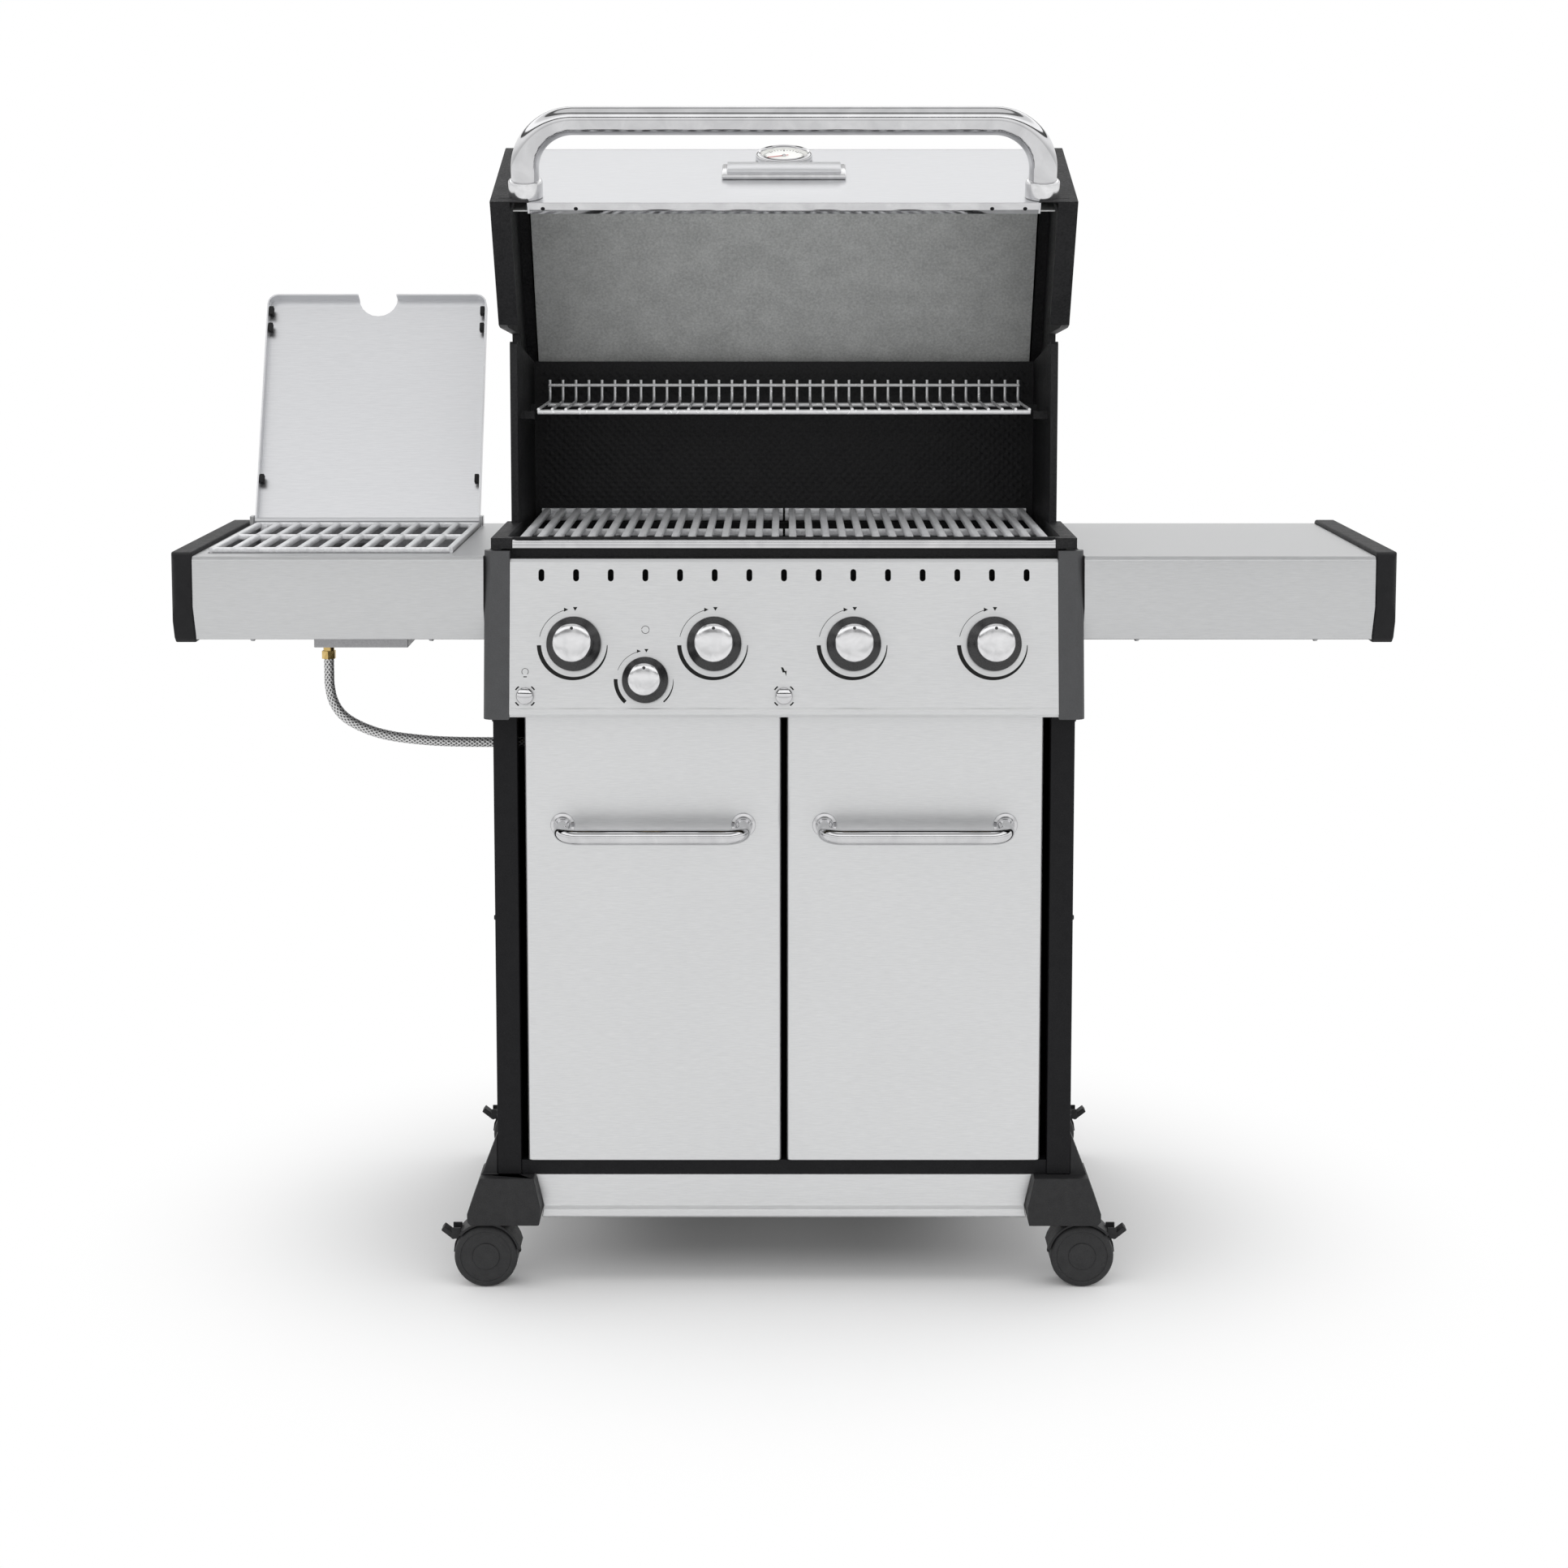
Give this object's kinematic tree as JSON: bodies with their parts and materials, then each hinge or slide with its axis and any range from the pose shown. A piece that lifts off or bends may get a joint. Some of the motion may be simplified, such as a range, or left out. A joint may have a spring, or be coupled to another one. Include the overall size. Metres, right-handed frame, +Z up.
{
  "type": "gas barbecue grill",
  "caption": "Gas barbecue grill on a cabinet cart, with an opening double-walled lid, side shelves, a side burner, control knobs, doors and swivel casters.",
  "frame": {"origin": "on the floor, under the middle of the grill's bounding box", "axes": "+X to the right as the user stands at the knobs, +Y away from the user, +Z up"},
  "size_m": [1.462, 0.6675, 1.446],
  "materials": {
    "brushed_steel": "horizontal satin grain, clear",
    "polished_steel": "polished tube",
    "rack_wire": "bright plated wire",
    "grate_steel": "blasted grey stainless",
    "liner_steel": "plain grey inner sheet",
    "black_casting": "black painted casting, fine texture",
    "black_enamel": "black powder coat",
    "black_resin": "fine moulded grain",
    "grey_cap": "dark grey paint",
    "wheel_resin": "moulded, satin",
    "brass": "machined",
    "braid": "woven steel sleeve",
    "knob": "satin silver cap on a black resin skirt"
  },
  "bodies": {
    "cart": {"side_panel_left": "black_enamel", "side_panel_right": "black_enamel", "back_panel": "black_enamel", "bottom_shelf": "black_enamel", "kick_panel": "brushed_steel", "control_panel": "brushed_steel", "shelf_left": "brushed_steel", "shelf_right": "brushed_steel", "foot_front_left": "black_resin", "foot_front_right": "black_resin", "foot_rear_left": "black_resin", "foot_rear_right": "black_resin", "shelf_cap_left": "black_resin", "shelf_cap_right": "black_resin", "front_trim": "polished_steel", "panel_cap_left": "grey_cap", "panel_cap_right": "grey_cap", "gas_manifold": "brass", "side_burner_valve": "brass", "warming_rack": "rack_wire", "burner_set": "rack_wire", "grate_left": "grate_steel", "grate_right": "grate_steel", "heat_tents": "grate_steel", "side_burner": "grate_steel", "side_burner_grate": "grate_steel", "cook_box": "black_casting", "side_hose": "braid"},
    "lid": {"lid_skin": "brushed_steel", "lid_liner": "liner_steel", "lid_cap_left": "black_casting", "lid_cap_right": "black_casting", "lid_handle": "polished_steel", "lid_thermometer": "polished_steel"},
    "side_lid": {"side_burner_lid": "brushed_steel"},
    "door_left": {"door_left": "brushed_steel", "door_handle_left": "polished_steel"},
    "door_right": {"door_right": "brushed_steel", "door_handle_right": "polished_steel"},
    "knob_1": {"knob_1": "knob"},
    "knob_2": {"knob_2": "knob"},
    "knob_3": {"knob_3": "knob"},
    "knob_4": {"knob_4": "knob"},
    "knob_side": {"knob_side": "knob"},
    "light_button": {"light_button": "polished_steel"},
    "igniter_button": {"igniter_button": "polished_steel"},
    "grease_tray": {"grease_tray": "rack_wire", "grease_tray_rim": "rack_wire"},
    "caster_fork_front_left": {"caster_fork_front_left": "black_resin"},
    "caster_wheels_front_left": {"caster_wheels_front_left": "wheel_resin"},
    "caster_pedal_front_left": {"caster_pedal_front_left": "black_resin"},
    "caster_fork_front_right": {"caster_fork_front_right": "black_resin"},
    "caster_wheels_front_right": {"caster_wheels_front_right": "wheel_resin"},
    "caster_pedal_front_right": {"caster_pedal_front_right": "black_resin"},
    "caster_fork_rear_left": {"caster_fork_rear_left": "black_resin"},
    "caster_wheels_rear_left": {"caster_wheels_rear_left": "wheel_resin"},
    "caster_pedal_rear_left": {"caster_pedal_rear_left": "black_resin"},
    "caster_fork_rear_right": {"caster_fork_rear_right": "black_resin"},
    "caster_wheels_rear_right": {"caster_wheels_rear_right": "wheel_resin"},
    "caster_pedal_rear_right": {"caster_pedal_rear_right": "black_resin"}
  },
  "joints": [
    {"name": "lid_hinge", "type": "hinge", "parent": "cart", "child": "lid", "pos_m": [0, 0.1628, 1.046], "axis": [1, 0, 0], "range_deg": [0, 56]},
    {"name": "side_lid_hinge", "type": "hinge", "parent": "cart", "child": "side_lid", "pos_m": [-0.55, 0.1268, 0.915], "axis": [1, 0, 0], "range_deg": [0, 115]},
    {"name": "door_left_hinge", "type": "hinge", "parent": "cart", "child": "door_left", "pos_m": [-0.309, -0.2392, 0.436], "axis": [0, 0, -1], "range_deg": [0, 110]},
    {"name": "door_right_hinge", "type": "hinge", "parent": "cart", "child": "door_right", "pos_m": [0.309, -0.2392, 0.436], "axis": [0, 0, 1], "range_deg": [0, 110]},
    {"name": "knob_1_turn", "type": "hinge", "parent": "cart", "child": "knob_1", "pos_m": [-0.25, -0.28543, 0.80475], "axis": [0, -0.9858, 0.1678], "range_deg": [0, 270]},
    {"name": "knob_2_turn", "type": "hinge", "parent": "cart", "child": "knob_2", "pos_m": [-0.083, -0.28543, 0.80475], "axis": [0, -0.9858, 0.1678], "range_deg": [0, 270]},
    {"name": "knob_3_turn", "type": "hinge", "parent": "cart", "child": "knob_3", "pos_m": [0.083, -0.28543, 0.80475], "axis": [0, -0.9858, 0.1678], "range_deg": [0, 270]},
    {"name": "knob_4_turn", "type": "hinge", "parent": "cart", "child": "knob_4", "pos_m": [0.25, -0.28543, 0.80475], "axis": [0, -0.9858, 0.1678], "range_deg": [0, 270]},
    {"name": "knob_side_turn", "type": "hinge", "parent": "cart", "child": "knob_side", "pos_m": [-0.165, -0.29265, 0.76236], "axis": [0, -0.9858, 0.1678], "range_deg": [0, 270]},
    {"name": "light_button_push", "type": "slide", "parent": "cart", "child": "light_button", "axis": [0, 0.9858, -0.1678], "range_m": [0, 0.003], "stiffness_N_per_m": 300},
    {"name": "igniter_button_push", "type": "slide", "parent": "cart", "child": "igniter_button", "axis": [0, 0.9858, -0.1678], "range_m": [0, 0.003], "stiffness_N_per_m": 300},
    {"name": "grease_tray_slide", "type": "slide", "parent": "cart", "child": "grease_tray", "axis": [0, 1, 0], "range_m": [0, 0.28]},
    {"name": "caster_front_left_swivel", "type": "hinge", "parent": "cart", "child": "caster_fork_front_left", "pos_m": [-0.344, -0.2252, 0.09], "axis": [0, 0, 1], "continuous": true},
    {"name": "caster_front_left_roll", "type": "hinge", "parent": "caster_fork_front_left", "child": "caster_wheels_front_left", "pos_m": [-0.367, -0.2252, 0.039], "axis": [0, 1, 0], "continuous": true},
    {"name": "caster_front_left_brake", "type": "hinge", "parent": "caster_fork_front_left", "child": "caster_pedal_front_left", "pos_m": [-0.40799, -0.2252, 0.05988], "axis": [0, -1, 0], "range_deg": [0, 20]},
    {"name": "caster_front_right_swivel", "type": "hinge", "parent": "cart", "child": "caster_fork_front_right", "pos_m": [0.344, -0.2252, 0.09], "axis": [0, 0, 1], "continuous": true},
    {"name": "caster_front_right_roll", "type": "hinge", "parent": "caster_fork_front_right", "child": "caster_wheels_front_right", "pos_m": [0.367, -0.2252, 0.039], "axis": [0, 1, 0], "continuous": true},
    {"name": "caster_front_right_brake", "type": "hinge", "parent": "caster_fork_front_right", "child": "caster_pedal_front_right", "pos_m": [0.40799, -0.2252, 0.05988], "axis": [0, 1, 0], "range_deg": [0, 20]},
    {"name": "caster_rear_left_swivel", "type": "hinge", "parent": "cart", "child": "caster_fork_rear_left", "pos_m": [-0.344, 0.2938, 0.09], "axis": [0, 0, 1], "continuous": true},
    {"name": "caster_rear_left_roll", "type": "hinge", "parent": "caster_fork_rear_left", "child": "caster_wheels_rear_left", "pos_m": [-0.367, 0.2938, 0.039], "axis": [0, 1, 0], "continuous": true},
    {"name": "caster_rear_left_brake", "type": "hinge", "parent": "caster_fork_rear_left", "child": "caster_pedal_rear_left", "pos_m": [-0.40799, 0.2938, 0.05988], "axis": [0, -1, 0], "range_deg": [0, 20]},
    {"name": "caster_rear_right_swivel", "type": "hinge", "parent": "cart", "child": "caster_fork_rear_right", "pos_m": [0.344, 0.2938, 0.09], "axis": [0, 0, 1], "continuous": true},
    {"name": "caster_rear_right_roll", "type": "hinge", "parent": "caster_fork_rear_right", "child": "caster_wheels_rear_right", "pos_m": [0.367, 0.2938, 0.039], "axis": [0, 1, 0], "continuous": true},
    {"name": "caster_rear_right_brake", "type": "hinge", "parent": "caster_fork_rear_right", "child": "caster_pedal_rear_right", "pos_m": [0.40799, 0.2938, 0.05988], "axis": [0, 1, 0], "range_deg": [0, 20]}
  ]
}
